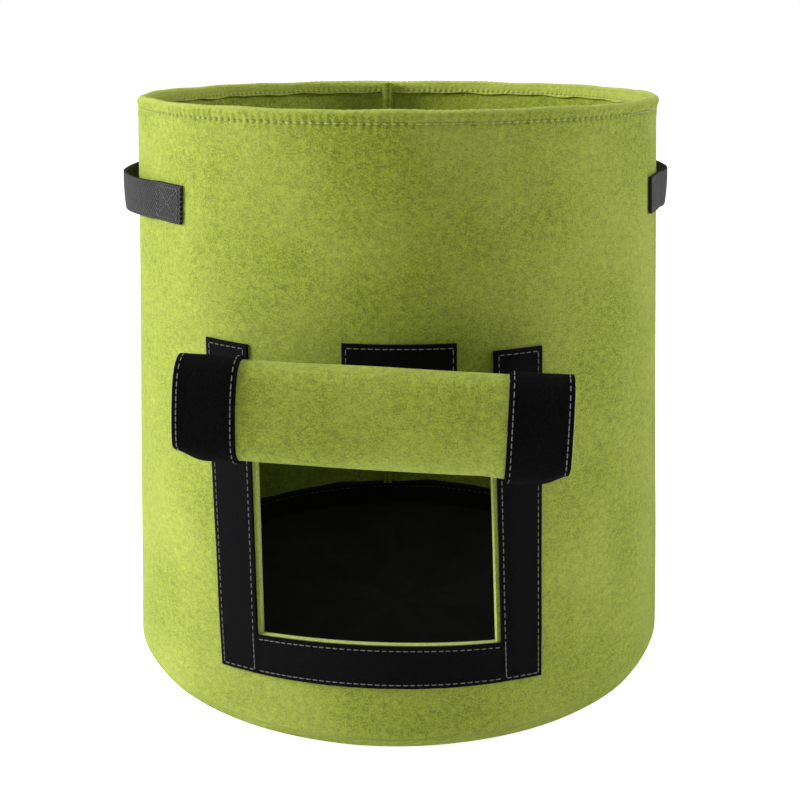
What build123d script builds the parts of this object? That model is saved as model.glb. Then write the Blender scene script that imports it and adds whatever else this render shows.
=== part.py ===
from build123d import *
import os
from math import asin, cos, degrees, radians, sin

# Fabric grow bag: a felt cylinder with a sewn-in base, two webbing handles and a front window
# whose felt flap is rolled up and held by hook-and-loop tape.
# Millimetres. +Z is up, the origin is on the floor under the middle of the base,
# and the window faces -Y. Angles on the wall are counted from -Y towards +X.

# ---- driving dimensions ----
HEIGHT = 328.0              # floor to rim
RIM_RADIUS = 150.0          # outside, at the rim
BASE_RADIUS = 162.0         # outside, where the straight wall would meet the floor
FELT = 3.0                  # thickness of the green felt
BASE_FELT = 2.6             # thickness of the black base felt
CORNER_RADIUS = 8.0         # outside radius of the turned bottom edge
RIM_ROUND = 1.3             # rounding of the folded rim
HEM_DEPTH = 8.0             # how far the rim is folded down inside
HEM_STITCH_DROP = 6.5       # rim to the hem's stitch line
BASE_LIP_TOP = 24.5         # height of the base felt turned up inside the wall
TURN_IN = 8.0               # how far the wall's foot runs inwards under the base
FOOT_GAP = 1.0              # base disc to the base felt's turned edge
LIP_STITCH_DROP = 4.0       # top of the base felt to its stitch line

SEAM_ANGLE = -172.5         # side seam of the wall, at the back
SEAM_WIDTH = 6.0            # its two layers of allowance
SEAM_DEPTH = 7.0            # how far the allowance stands into the bag
SEAM_STITCH_DEPTH = 4.0     # wall's inner face to the seam's stitch line
SEAM_CLEARANCE = 0.5        # seam allowance to the hem and to the base felt

WINDOW_HALF_ANGLE = 22.6    # the opening, from its middle to a side
WINDOW_LOW = 60.2
WINDOW_HIGH = 170.5

TAPE = 1.5                  # thickness of hook tape and of loop tape
TAPE_WIDTH = 25.0           # hook tape
LOOP_TAPE_WIDTH = 30.0
TAPE_OUTER_ANGLE = 32.3     # outer edge of the side tapes
TAPE_INNER_ANGLE = 23.3     # inner edge of the side tapes
FRAME_LOW = 34.8            # lower edge of the tape frame
SIDE_TAPE_TOP = 210.0
PATCH_ANGLE = 4.7           # middle of the patch that holds the roll
PATCH_HALF_ANGLE = 10.5
PATCH_TOP = 215.2

FLAP_HALF_WIDTH = 93.0
FLAP_SHIFT = 1.5            # the flap sits a little to the right of the window's middle
FLAP_HINGE_HEIGHT = 173.8   # lower edge of the sewn strip, where the flap bends away
FLAP_STANDOFF = 7.0         # wall surface to the flap's outer face at the hinge
FLAP_STRIP_HEIGHT = 9.0
FLAP_STRIP_GAP = 0.4        # hinge line to the sewn strip
FLAP_STITCH_SHORT = 1.0     # degrees by which the strip's stitching stops short of each end
FLAP_TILT = 2.0             # degrees by which the unevenly rolled flap drops to the right
FLAP_LEAN = 2.1             # degrees by which the hanging flap follows the flared wall
ROLL_BEND = 60.0            # degrees that each hinge of the roll turns
TAIL_BEND = 150.0           # degrees that the last hinge turns
SECTION_GAP = 0.5           # between neighbouring sections of the flap
SECTION_LENGTHS = [6.0, 15.0, 15.0, 34.5, 11.5, 11.5, 22.0, 27.0]

HANDLE_ANGLES = {"left": -77.0, "right": 103.0}
HANDLE_HEIGHT = 276.0       # middle of the webbing
WEBBING_WIDTH = 20.0
WEBBING = 1.6
HANDLE_SPAN = 69.0          # degrees, from end to end of the webbing
HANDLE_SEWN = 10.0          # degrees of each sewn end
HANDLE_BULGE = 8.2         # wall to the outside of the loop at its middle
SWING_HALF_ANGLE = 30.0     # the part of the loop's own arc that swings, from its middle
SWING_GAP = 1.2
SEWN_GAP = 0.1              # degrees between a sewn end and the standing loop
SEWN_MARGIN = 0.8           # degrees by which its stitching stops short of each end

THREAD = 0.5                # how far a stitch stands proud
THREAD_WIDTH = 0.8
EDGE = 2.2                  # stitch line to the edge of a tape or webbing

parts = {}


def wall_radius(z):
    """Outside radius of the wall at a height."""
    return BASE_RADIUS + (RIM_RADIUS - BASE_RADIUS) * z / HEIGHT


def band(near, far, low, high, middle, span):
    """A patch that follows the wall: near and far are distances from its outer surface."""
    outline = [
        (wall_radius(low) + near, 0, low),
        (wall_radius(low) + far, 0, low),
        (wall_radius(high) + far, 0, high),
        (wall_radius(high) + near, 0, high),
    ]
    profile = make_face(Polyline(*outline, close=True))
    solid = revolve(profile, Axis.Z, revolution_arc=span)
    return Rot(0, 0, middle - span / 2 - 90) * solid


def ring(outline, round_points=(), radius=0.0):
    """A full turn of an outline given as (radius, height) points, some corners rounded."""
    profile = make_face(Polyline(*[(r, 0, z) for r, z in outline], close=True))
    if round_points:
        corners = [
            v
            for v in profile.vertices()
            if any(abs(v.X - r) < 0.01 and abs(v.Z - z) < 0.01 for r, z in round_points)
        ]
        profile = fillet(corners, radius)
    return revolve(profile, Axis.Z)


def degrees_of(length, z):
    """The angle that a length takes on the wall at a height."""
    return degrees(length / wall_radius(z))


# ---- body of the bag ----
def turned_profile(outside, thickness, top, round_radius, inner_end):
    """A wall that comes down, turns in at the bottom and runs inwards on the floor side.

    outside is the distance of its outer face inside the wall's outer surface.
    """
    low = round_radius + outside
    outer_top = (wall_radius(top) - outside, 0, top)
    outer_low = (wall_radius(low) - outside, 0, low)
    outer_foot = (outer_low[0] - round_radius, 0, outside)
    inner_top = (outer_top[0] - thickness, 0, top)
    inner_low = (outer_low[0] - thickness, 0, low)
    inner_foot = (outer_foot[0], 0, outside + thickness)
    turn = cos(radians(45))
    outer_mid = (outer_foot[0] + round_radius * turn, 0, low - round_radius * turn)
    small = round_radius - thickness
    inner_mid = (outer_foot[0] + small * turn, 0, low - small * turn)
    end_low = (inner_end, 0, outside)
    end_high = (inner_end, 0, outside + thickness)
    edges = [
        Line(outer_top, outer_low),
        ThreePointArc(outer_low, outer_mid, outer_foot),
        Line(outer_foot, end_low),
        Line(end_low, end_high),
        Line(end_high, inner_foot),
        ThreePointArc(inner_foot, inner_mid, inner_low),
        Line(inner_low, inner_top),
        Line(inner_top, outer_top),
    ]
    return make_face(Wire(edges))


allowance_end = BASE_RADIUS - CORNER_RADIUS - TURN_IN
wall = revolve(turned_profile(0.0, FELT, HEIGHT, CORNER_RADIUS, allowance_end), Axis.Z)
rim_edge = wall.edges().filter_by(GeomType.CIRCLE).sort_by(Axis.Z)[-2:].sort_by(SortBy.RADIUS)[-1]
wall = fillet(rim_edge, RIM_ROUND)
window = band(
    -3 * FELT, 2 * FELT, WINDOW_LOW, WINDOW_HIGH, 0.0, 2 * WINDOW_HALF_ANGLE
)
parts["side_wall"] = wall - window

base_lip = turned_profile(
    FELT, BASE_FELT, BASE_LIP_TOP, CORNER_RADIUS - FELT, allowance_end - FOOT_GAP
)
base_dish = revolve(base_lip, Axis.Z)
base_disc = extrude(Circle(allowance_end), FELT)
base_cover = Pos(0, 0, FELT) * extrude(Circle(allowance_end - FOOT_GAP), BASE_FELT)
parts["base_panel"] = base_dish + base_disc + base_cover

hem_outer = wall_radius(HEIGHT) - FELT
hem_low = wall_radius(HEIGHT - HEM_DEPTH) - FELT
hem_outline = [
    (hem_outer, HEIGHT),
    (hem_outer - FELT, HEIGHT),
    (hem_low - FELT, HEIGHT - HEM_DEPTH),
    (hem_low, HEIGHT - HEM_DEPTH),
]
parts["rim_hem"] = ring(hem_outline, [hem_outline[1]], RIM_ROUND)
parts["rim_hem_stitching"] = band(
    0.0,
    THREAD,
    HEIGHT - HEM_STITCH_DROP - THREAD_WIDTH / 2,
    HEIGHT - HEM_STITCH_DROP + THREAD_WIDTH / 2,
    180.0,
    360.0,
)

seam_low = BASE_LIP_TOP + SEAM_CLEARANCE
seam_high = HEIGHT - HEM_DEPTH - SEAM_CLEARANCE
parts["back_seam_allowance"] = band(
    -FELT - SEAM_DEPTH,
    -FELT,
    seam_low,
    seam_high,
    SEAM_ANGLE,
    degrees_of(SEAM_WIDTH, HEIGHT),
)
seam_side = SEAM_ANGLE + degrees_of(SEAM_WIDTH, HEIGHT) / 2
parts["back_seam_stitching"] = band(
    -FELT - SEAM_STITCH_DEPTH,
    -FELT - SEAM_STITCH_DEPTH + THREAD_WIDTH,
    seam_low,
    seam_high,
    seam_side + degrees_of(THREAD, HEIGHT) / 2,
    degrees_of(THREAD, HEIGHT),
)

lip_stitch_height = BASE_LIP_TOP - LIP_STITCH_DROP
parts["base_lip_stitching"] = band(
    -FELT - BASE_FELT - THREAD,
    -FELT - BASE_FELT,
    lip_stitch_height,
    lip_stitch_height + THREAD_WIDTH,
    180.0,
    360.0,
)

# ---- hook tape round the window ----
side_middle = (TAPE_OUTER_ANGLE + TAPE_INNER_ANGLE) / 2
side_span = TAPE_OUTER_ANGLE - TAPE_INNER_ANGLE
for side, sign in (("left", -1), ("right", 1)):
    parts[f"window_hook_tape_{side}"] = band(
        0.0, TAPE, FRAME_LOW, SIDE_TAPE_TOP, sign * side_middle, side_span
    )
parts["window_hook_tape_bottom"] = band(
    0.0, TAPE, FRAME_LOW, FRAME_LOW + TAPE_WIDTH, 0.0, 2 * TAPE_INNER_ANGLE
)
parts["roll_holding_patch"] = band(
    0.0, TAPE, PATCH_TOP - TAPE_WIDTH, PATCH_TOP, PATCH_ANGLE, 2 * PATCH_HALF_ANGLE
)


def thread_on_tape(low, high, middle, span):
    """One run of stitching on the face of a hook tape."""
    return band(TAPE, TAPE + THREAD, low, high, middle, span)


thread_angle = degrees_of(THREAD_WIDTH, FRAME_LOW)
edge_angle = degrees_of(EDGE, FRAME_LOW)
runs = []
for sign in (-1, 1):
    for at in (TAPE_OUTER_ANGLE - edge_angle, TAPE_INNER_ANGLE + edge_angle):
        runs.append(
            thread_on_tape(
                FRAME_LOW + 2 * EDGE,
                FLAP_HINGE_HEIGHT - EDGE,
                sign * at,
                thread_angle,
            )
        )
for at in (FRAME_LOW + EDGE, FRAME_LOW + TAPE_WIDTH - EDGE):
    span = 2 * (TAPE_INNER_ANGLE - edge_angle)
    runs.append(thread_on_tape(at - THREAD_WIDTH / 2, at + THREAD_WIDTH / 2, 0.0, span))
parts["window_tape_stitching"] = Compound(runs)
patch_stitch = PATCH_TOP - EDGE
parts["roll_patch_stitching"] = thread_on_tape(
    patch_stitch - THREAD_WIDTH / 2,
    patch_stitch + THREAD_WIDTH / 2,
    PATCH_ANGLE,
    2 * (PATCH_HALF_ANGLE - edge_angle),
)

# ---- the flap: a sewn strip, then straight sections that hinge on their outer face ----
strip_half_angle = degrees_of(FLAP_HALF_WIDTH, FLAP_HINGE_HEIGHT)
strip = band(
    0.0,
    FELT + TAPE,
    FLAP_HINGE_HEIGHT + FLAP_STRIP_GAP,
    FLAP_HINGE_HEIGHT + FLAP_STRIP_HEIGHT,
    degrees_of(FLAP_SHIFT, FLAP_HINGE_HEIGHT),
    2 * strip_half_angle,
)
for side in ("left", "right"):
    strip = strip - parts[f"window_hook_tape_{side}"]
parts["flap_sewn_strip"] = strip
strip_stitch = FLAP_HINGE_HEIGHT + FLAP_STRIP_HEIGHT / 2
parts["flap_strip_stitching"] = band(
    FELT + TAPE,
    FELT + TAPE + THREAD,
    strip_stitch - THREAD_WIDTH / 2,
    strip_stitch + THREAD_WIDTH / 2,
    degrees_of(FLAP_SHIFT, FLAP_HINGE_HEIGHT),
    2 * (strip_half_angle - FLAP_STITCH_SHORT),
)

hinge_y = -(wall_radius(FLAP_HINGE_HEIGHT) + FLAP_STANDOFF)
hinge = (hinge_y, FLAP_HINGE_HEIGHT)
heading = -90.0 + FLAP_LEAN
pivot = Pos(FLAP_SHIFT, 0, FLAP_HINGE_HEIGHT)
tilt = pivot * Rot(0, FLAP_TILT, 0) * pivot.inverse()
bends = [0.0] + [ROLL_BEND] * 6 + [TAIL_BEND]
for number, (length, bend) in enumerate(zip(SECTION_LENGTHS, bends), start=1):
    heading += bend
    out, up = cos(radians(heading)), sin(radians(heading))
    turned = tilt * Pos(FLAP_SHIFT, hinge[0], hinge[1])
    print(f"flap hinge {number}:", *[round(value, 3) for value in turned.position])
    # the section lies along its heading, with its thickness on the side that faces out of the roll
    across = (0, -up, -out)
    place = Plane(origin=(FLAP_SHIFT, hinge[0], hinge[1]), x_dir=(1, 0, 0), z_dir=across)
    middle, depth = length / 2, length - SECTION_GAP
    slab = Pos(0, middle, FELT / 2) * Box(2 * FLAP_HALF_WIDTH, depth, FELT)
    tapes = [
        Pos(sign * (FLAP_HALF_WIDTH - LOOP_TAPE_WIDTH / 2), middle, FELT + TAPE / 2)
        * Box(LOOP_TAPE_WIDTH, depth, TAPE)
        for sign in (-1, 1)
    ]
    parts[f"flap_felt_{number}"] = tilt * (place * slab)
    parts[f"flap_loop_tape_{number}"] = Compound([tilt * (place * tape) for tape in tapes])
    if number == len(SECTION_LENGTHS):
        inner_width = 2 * (FLAP_HALF_WIDTH - LOOP_TAPE_WIDTH)
        edge_tape = Pos(0, middle, FELT + TAPE / 2) * Box(inner_width, depth, TAPE)
        parts["flap_loop_tape_bottom"] = tilt * (place * edge_tape)
    hinge = (hinge[0] - out * length, hinge[1] + up * length)

# ---- handles: webbing sewn at both ends, standing off the wall in between ----
loop_z = HANDLE_HEIGHT - WEBBING_WIDTH / 2
wall_here = wall_radius(loop_z)
free_half = HANDLE_SPAN / 2 - HANDLE_SEWN
chord_half = wall_here * sin(radians(free_half))
chord_distance = wall_here * cos(radians(free_half))
sagitta = wall_here + HANDLE_BULGE - WEBBING - chord_distance
loop_radius = (chord_half**2 + sagitta**2) / (2 * sagitta)
loop_centre = chord_distance + sagitta - loop_radius
loop_half = degrees(asin(chord_half / loop_radius))
print(f"swing axis at {chord_distance:.2f} from the middle, loop radius {loop_radius:.2f}")


def webbing_arc(first, last):
    """A stretch of the standing loop, from one angle to another of its own arc, towards +X."""
    outline = [
        (loop_radius, 0, loop_z),
        (loop_radius + WEBBING, 0, loop_z),
        (loop_radius + WEBBING, 0, loop_z + WEBBING_WIDTH),
        (loop_radius, 0, loop_z + WEBBING_WIDTH),
    ]
    profile = make_face(Polyline(*outline, close=True))
    arc = revolve(profile, Axis.Z, revolution_arc=last - first)
    return Pos(loop_centre, 0, 0) * Rot(0, 0, first) * arc


gap_angle = degrees(SWING_GAP / loop_radius)
for side, angle in HANDLE_ANGLES.items():
    turn = Rot(0, 0, angle - 90)
    parts[f"{side}_handle_loop"] = turn * webbing_arc(-SWING_HALF_ANGLE, SWING_HALF_ANGLE)
    stubs = [
        turn * webbing_arc(SWING_HALF_ANGLE + gap_angle, loop_half),
        turn * webbing_arc(-loop_half, -SWING_HALF_ANGLE - gap_angle),
    ]
    ends = []
    seams = []
    for sign, stub in zip((1, -1), stubs):
        middle = angle + sign * (free_half + HANDLE_SEWN / 2 + SEWN_GAP)
        sewn = band(0.0, WEBBING, loop_z, loop_z + WEBBING_WIDTH, middle, HANDLE_SEWN)
        ends += [sewn, stub]
        for at in (loop_z + EDGE, loop_z + WEBBING_WIDTH - EDGE):
            low, high = at - THREAD_WIDTH / 2, at + THREAD_WIDTH / 2
            span = HANDLE_SEWN - 2 * SEWN_MARGIN
            seams.append(band(WEBBING, WEBBING + THREAD, low, high, middle, span))
    parts[f"{side}_handle_ends"] = Compound(ends)
    parts[f"{side}_handle_stitching"] = Compound(seams)

# ---- one STEP file for each sub-part ----
os.makedirs("parts", exist_ok=True)
for name, shape in parts.items():
    export_step(shape, f"parts/{name}.step")
print(len(parts), "sub-parts")
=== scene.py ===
import math

import bmesh
import bpy
import numpy as np
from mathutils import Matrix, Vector


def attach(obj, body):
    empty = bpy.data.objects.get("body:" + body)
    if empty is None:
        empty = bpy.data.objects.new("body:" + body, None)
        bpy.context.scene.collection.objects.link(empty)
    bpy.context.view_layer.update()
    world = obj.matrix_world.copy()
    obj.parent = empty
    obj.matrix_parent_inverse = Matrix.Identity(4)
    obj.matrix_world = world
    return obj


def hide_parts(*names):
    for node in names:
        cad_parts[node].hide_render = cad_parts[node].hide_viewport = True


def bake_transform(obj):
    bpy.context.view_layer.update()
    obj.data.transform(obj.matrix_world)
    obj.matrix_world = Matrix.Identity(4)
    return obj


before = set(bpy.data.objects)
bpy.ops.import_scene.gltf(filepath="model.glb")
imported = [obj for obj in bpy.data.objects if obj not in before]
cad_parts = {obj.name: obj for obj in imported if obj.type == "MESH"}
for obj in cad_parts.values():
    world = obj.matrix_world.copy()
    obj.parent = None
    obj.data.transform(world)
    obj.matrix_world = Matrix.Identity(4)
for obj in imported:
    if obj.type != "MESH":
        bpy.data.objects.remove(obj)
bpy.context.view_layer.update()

# Lengths below are millimetres and angles on the wall are degrees from -Y towards +X; meshes are made in metres.
MM = 0.001
TAU = 2 * math.pi
RNG = np.random.default_rng(11)

# ---- the bag, as the CAD model has it ----
HEIGHT, RIM_RADIUS, BASE_RADIUS = 328.0, 150.0, 162.0
FELT, BASE_FELT, CORNER = 3.0, 2.6, 8.0
WINDOW_HALF, WINDOW_LOW, WINDOW_HIGH = 22.6, 60.2, 170.5
TAPE, TAPE_WIDTH, LOOP_WIDTH, TAPE_OUTER, TAPE_INNER = 1.5, 25.0, 30.0, 32.3, 23.3
FRAME_LOW, SIDE_TAPE_TOP = 34.8, 210.0
PATCH_MIDDLE, PATCH_HALF, PATCH_TOP = 4.7, 10.5, 215.2
HEM_SPLIT, HEM_STITCH = 311.0, 321.5
SEAM, SEAM_DEPTH, LIP_TOP = -172.5, 7.0, 24.5
MEAN_RADIUS, WINDOW_RADIUS = 156.0, 158.0
FLAP_HALF, FLAP_SHIFT, HINGE_Z, STRIP_TOP = 93.0, 1.5, 173.8, 182.8
FLAP_TILT, FLAP_OUT = math.radians(2.0), 162.641
LENGTHS = [6.0, 15.0, 15.0, 34.5, 11.5, 11.5, 22.0, 27.0]
HEADINGS = [-87.9, -27.9, 32.1, 92.1, 152.1, 212.1, 272.1, 422.1]
HANDLES = {"left": -77.0, "right": 103.0}
HANDLE_Z, WEBBING_WIDTH, WEBBING = 276.0, 20.0, 1.6
LOOP_RADIUS, LOOP_CENTRE, FREE_HALF, SEWN = 108.31, 50.55, 24.5, 10.0


# ---- camera, light and floor ----
def camera():
    turn, reach, aside, high, down = math.radians(4.4), 0.7275, 0.00097, 0.368, 11.53
    data = bpy.data.cameras.new("camera")
    data.lens, data.sensor_width, data.shift_y = 54.9, 36.0, -0.16
    cam = bpy.data.objects.new("camera", data)
    bpy.context.collection.objects.link(cam)
    c, s = math.cos(turn), math.sin(turn)
    cam.location = (reach * s + aside * c, -reach * c + aside * s, high)
    cam.rotation_euler = (math.radians(90 - down), 0.0, turn)
    bpy.context.scene.camera = cam


def area_light(name, place, aim, size, power, colour=(1, 1, 1)):
    data = bpy.data.lights.new(name, "AREA")
    data.shape, data.size, data.energy, data.color = "DISK", size, power, colour
    lamp = bpy.data.objects.new(name, data)
    bpy.context.collection.objects.link(lamp)
    lamp.location = place
    lamp.rotation_euler = (Vector(aim) - Vector(place)).to_track_quat("-Z", "Y").to_euler()


def studio():
    area_light("key", (-1.6, -0.3, 0.8), (0.0, 0.0, 0.2), 0.8, 40.0)
    area_light("top", (-0.3, 0.1, 2.2), (0.0, 0.0, 0.1), 1.6, 14.0)
    area_light("front", (-0.2, -2.2, 1.1), (0.0, 0.0, 0.15), 1.6, 4.5)
    area_light("side", (1.7, 0.3, 0.9), (0.0, 0.0, 0.22), 0.8, 23.0)
    world = bpy.data.worlds.new("studio")
    bpy.context.scene.world = world
    world.use_nodes = True
    tree = world.node_tree
    sky = tree.nodes["Background"]
    sky.inputs[0].default_value, sky.inputs[1].default_value = (1, 1, 1, 1), 0.22
    seen = tree.nodes.new("ShaderNodeBackground")
    seen.inputs[0].default_value, seen.inputs[1].default_value = (1, 1, 1, 1), 1.0
    path, mix = tree.nodes.new("ShaderNodeLightPath"), tree.nodes.new("ShaderNodeMixShader")
    tree.links.new(path.outputs["Is Camera Ray"], mix.inputs[0])
    tree.links.new(sky.outputs[0], mix.inputs[1])
    tree.links.new(seen.outputs[0], mix.inputs[2])
    tree.links.new(mix.outputs[0], tree.nodes["World Output"].inputs[0])
    bpy.context.scene.view_settings.view_transform = "Standard"


# ---- materials ----
class Nodes:
    """A material's node tree, written as nested calls."""

    def __init__(self, name):
        self.material = bpy.data.materials.new(name)
        self.material.use_nodes = True
        self.tree = self.material.node_tree
        self.shader = self.tree.nodes["Principled BSDF"]
        self.fabric = self.add("ShaderNodeAttribute", attribute_name="fab").outputs["Vector"]
        self.wear = self.add("ShaderNodeAttribute", attribute_name="wear").outputs["Fac"]

    def add(self, kind, inputs=(), **settings):
        node = self.tree.nodes.new(kind)
        for key, value in settings.items():
            setattr(node, key, value)
        for key, value in dict(inputs).items():
            self.put(node.inputs[key], value)
        return node

    def put(self, socket, value):
        if isinstance(value, bpy.types.NodeSocket):
            self.tree.links.new(value, socket)
        else:
            socket.default_value = value

    def math(self, operation, a, b=0.0, clamp=False):
        return self.add("ShaderNodeMath", {0: a, 1: b}, operation=operation, use_clamp=clamp).outputs[0]

    def noise(self, scale, detail=3.0, rough=0.55, at=None, warp=0.0):
        inputs = {"Vector": at or self.fabric, "Scale": scale, "Detail": detail, "Roughness": rough, "Distortion": warp}
        return self.add("ShaderNodeTexNoise", inputs).outputs["Fac"]

    def placed(self, turn=0.0, scale=(1, 1, 1), offset=(0, 0, 0)):
        inputs = {"Vector": self.fabric, "Rotation": (0, 0, turn), "Scale": scale, "Location": offset}
        return self.add("ShaderNodeMapping", inputs).outputs[0]

    def spread(self, value, low, high, to_low=0.0, to_high=1.0):
        inputs = {"Value": value, "From Min": low, "From Max": high, "To Min": to_low, "To Max": to_high}
        return self.add("ShaderNodeMapRange", inputs).outputs[0]

    def blend(self, amount, a, b):
        node = self.add("ShaderNodeMix", data_type="RGBA")
        for index, value in ((0, amount), (6, a), (7, b)):
            self.put(node.inputs[index], value)
        return node.outputs[2]

    def strand(self, turn, width, offset):
        """Thin wandering fibres that run one way in the sheet, 1 on a fibre."""
        at = self.placed(turn, (0.28, 2.6, 1.0), offset)
        value = self.noise(1.0, 2.0, 0.5, at, 0.9)
        off = self.math("ABSOLUTE", self.math("SUBTRACT", value, 0.5))
        return self.spread(off, 0.0, width, 1.0, 0.0)

    def wave(self, axis, pitch, turn=0.0):
        """A sine, 0 to 1, across one fabric axis."""
        split = self.add("ShaderNodeSeparateXYZ", {0: self.placed(turn)}).outputs[axis]
        return self.math("MULTIPLY_ADD", self.math("SINE", self.math("MULTIPLY", split, TAU / pitch)), 0.5)

    def finish(self, colour, height, depth, roughness, sheen=0.0, sheen_tint=(1, 1, 1), specular=0.3):
        put = lambda name, value: self.put(self.shader.inputs[name], value)
        put("Base Color", colour)
        put("Roughness", roughness)
        put("Specular IOR Level", specular)
        put("Sheen Weight", sheen)
        put("Sheen Roughness", 0.45)
        put("Sheen Tint", (*sheen_tint, 1))
        bump = self.add("ShaderNodeBump", {"Height": height, "Distance": depth * MM, "Strength": 1.0})
        put("Normal", bump.outputs[0])
        return self.material


def linear(r, g, b):
    return tuple(((c / 255 + 0.055) / 1.055) ** 2.4 if c > 10 else c / 255 / 12.92 for c in (r, g, b)) + (1.0,)


def felt(name, deep, body, pale, sheen, contrast=1.0, tint=(1, 1, 0.85)):
    n = Nodes(name)
    fine = n.noise(1.15, 5.0, 0.68)
    clump = n.noise(0.3, 4.0, 0.62, warp=0.6)
    broad = n.noise(0.018, 2.0, 0.5)
    fibres = [n.strand(*row) for row in ((0.3, 0.035, (0, 0, 0)), (1.35, 0.03, (7, 3, 1)), (2.45, 0.033, (3, 9, 2)))]
    threads = n.math("MAXIMUM", n.math("MAXIMUM", fibres[0], fibres[1]), fibres[2])
    mottle = n.math("ADD", n.math("MULTIPLY", fine, 0.62), n.math("MULTIPLY", clump, 0.38))
    colour = n.blend(n.spread(mottle, 0.5 - 0.16 / contrast, 0.5 + 0.16 / contrast), deep, body)
    colour = n.blend(n.math("MULTIPLY", n.spread(broad, 0.35, 0.65), 0.22), colour, pale)
    colour = n.blend(n.math("MULTIPLY", threads, 0.3), colour, pale)
    # lighter where the mesh's mask is set: rubbed wear and pale cut edges on most pieces, and a painted highlight on
    # the hem's rounded top and inner fold
    colour = n.blend(n.math("MULTIPLY", n.wear, 0.6), colour, pale)
    height = n.math("ADD", n.math("MULTIPLY", fine, 0.5), n.math("MULTIPLY", clump, 1.1))
    height = n.math("ADD", height, n.math("MULTIPLY", threads, 0.16))
    return n.finish(colour, height, 0.75, n.spread(fine, 0.3, 0.7, 0.85, 1.0), sheen, tint, 0.1)


def cut_edge(name, deep, body, pale):
    """The sliced side of a felt, with its layers lying along it."""
    n = Nodes(name)
    layers = n.noise(1.0, 4.0, 0.7, n.placed(0.0, (0.35, 0.35, 2.4)))
    fine = n.noise(2.2, 4.0, 0.7)
    colour = n.blend(n.spread(layers, 0.36, 0.62), deep, body)
    colour = n.blend(n.spread(fine, 0.5, 0.78), colour, pale)
    height = n.math("ADD", layers, n.math("MULTIPLY", fine, 0.8))
    return n.finish(colour, height, 0.5, 0.95, 0.3, (1, 1, 0.85), 0.15)


def hook_tape(name, base, pale):
    """Woven tape with rows of hooks, and a plain selvedge where the mesh's edge mask is set."""
    n = Nodes(name)
    rows, cols = n.wave(0, 1.3), n.wave(1, 1.05)
    hooks = n.math("MULTIPLY", n.math("POWER", rows, 1.6), n.spread(cols, 0.25, 0.8))
    hooks = n.math("MULTIPLY", hooks, n.spread(n.noise(1.1, 3.0), 0.32, 0.6))
    weave = n.math("MULTIPLY", n.wave(0, 0.55), n.wave(1, 0.5))
    field = n.math("SUBTRACT", 1.0, n.wear, clamp=True)
    height = n.math("ADD", n.math("MULTIPLY", n.math("MULTIPLY", hooks, field), 1.0), n.math("MULTIPLY", weave, 0.3))
    colour = n.blend(n.math("MULTIPLY", n.spread(height, 0.25, 1.1), 0.55), base, pale)
    dust = n.math("MULTIPLY", n.spread(n.noise(0.09, 4.0, 0.7), 0.5, 0.75), 0.12)
    return n.finish(n.blend(dust, colour, pale), height, 0.55, n.spread(hooks, 0, 1, 0.85, 0.7), 0.0, (1, 1, 1), 0.08)


def loop_tape(name, base, pale):
    """Brushed tape: a pile of small loops over a knitted ground."""
    n = Nodes(name)
    pile = n.noise(1.6, 4.0, 0.7, warp=1.4)
    combed = n.noise(1.0, 3.0, 0.6, n.placed(0.1, (2.4, 0.5, 1.0)), 0.8)
    height = n.math("ADD", pile, n.math("MULTIPLY", combed, 0.8))
    colour = n.blend(n.math("MULTIPLY", n.spread(height, 0.8, 1.2), 0.6), base, pale)
    lint = n.math("MULTIPLY", n.spread(n.noise(0.55, 2.0, 0.5, warp=2.0), 0.66, 0.72), 0.35)
    return n.finish(n.blend(lint, colour, pale), height, 0.5, 0.95, 0.0, (1, 1, 1), 0.05)


def webbing_material(name, base, pale):
    """Coarse woven strap: floats in staggered rows, with a painted highlight on their crowns."""
    n = Nodes(name)
    split = n.add("ShaderNodeSeparateXYZ", {0: n.fabric})
    across, along = split.outputs[0], split.outputs[1]
    warp = n.math("SINE", n.math("MULTIPLY", across, TAU / 2.5))
    weft = n.math("SINE", n.math("MULTIPLY", along, TAU / 2.2))
    product = n.math("MULTIPLY_ADD", n.math("MULTIPLY", warp, weft), 0.5)
    fine = n.wave(1, 0.42)
    crown = n.spread(product, 0.62, 0.95)
    fray = n.noise(2.4, 3.0, 0.6)
    height = n.math("ADD", n.math("MULTIPLY", product, 1.0), n.math("MULTIPLY", fine, 0.22))
    height = n.math("ADD", height, n.math("MULTIPLY", fray, 0.3))
    # painted highlight: the raised crowns of the floats, broken up by the fray noise, are mixed towards the pale grey
    light = n.math("MULTIPLY", n.math("MULTIPLY", crown, n.spread(fray, 0.35, 0.6)), 0.7)
    return n.finish(n.blend(light, base, pale), height, 0.5, 0.7, 0.04, (1, 1, 1), 0.25)


def thread_material(name, base, pale):
    """Twisted sewing thread."""
    n = Nodes(name)
    twist = n.wave(0, 0.55, 0.7)
    colour = n.blend(twist, base, pale)
    return n.finish(colour, n.math("ADD", twist, n.noise(5.0, 2.0)), 0.12, 0.55, 0.2, (1, 1, 1), 0.4)


def floor_material():
    n = Nodes("studio_floor")
    place = n.add("ShaderNodeTexCoord").outputs["Object"]
    tone = n.noise(1.5, 3.0, 0.5, place)
    colour = n.blend(tone, (0.93, 0.93, 0.93, 1), (0.96, 0.96, 0.96, 1))
    n.put(n.shader.inputs["Emission Color"], (1, 1, 1, 1))
    seen = n.add("ShaderNodeLightPath").outputs["Is Camera Ray"]
    n.put(n.shader.inputs["Emission Strength"], n.spread(seen, 0.0, 1.0, 0.26, 0.88))
    return n.finish(colour, n.noise(60.0, 3.0, 0.5, place), 0.1, 0.8, specular=0.1)


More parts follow.
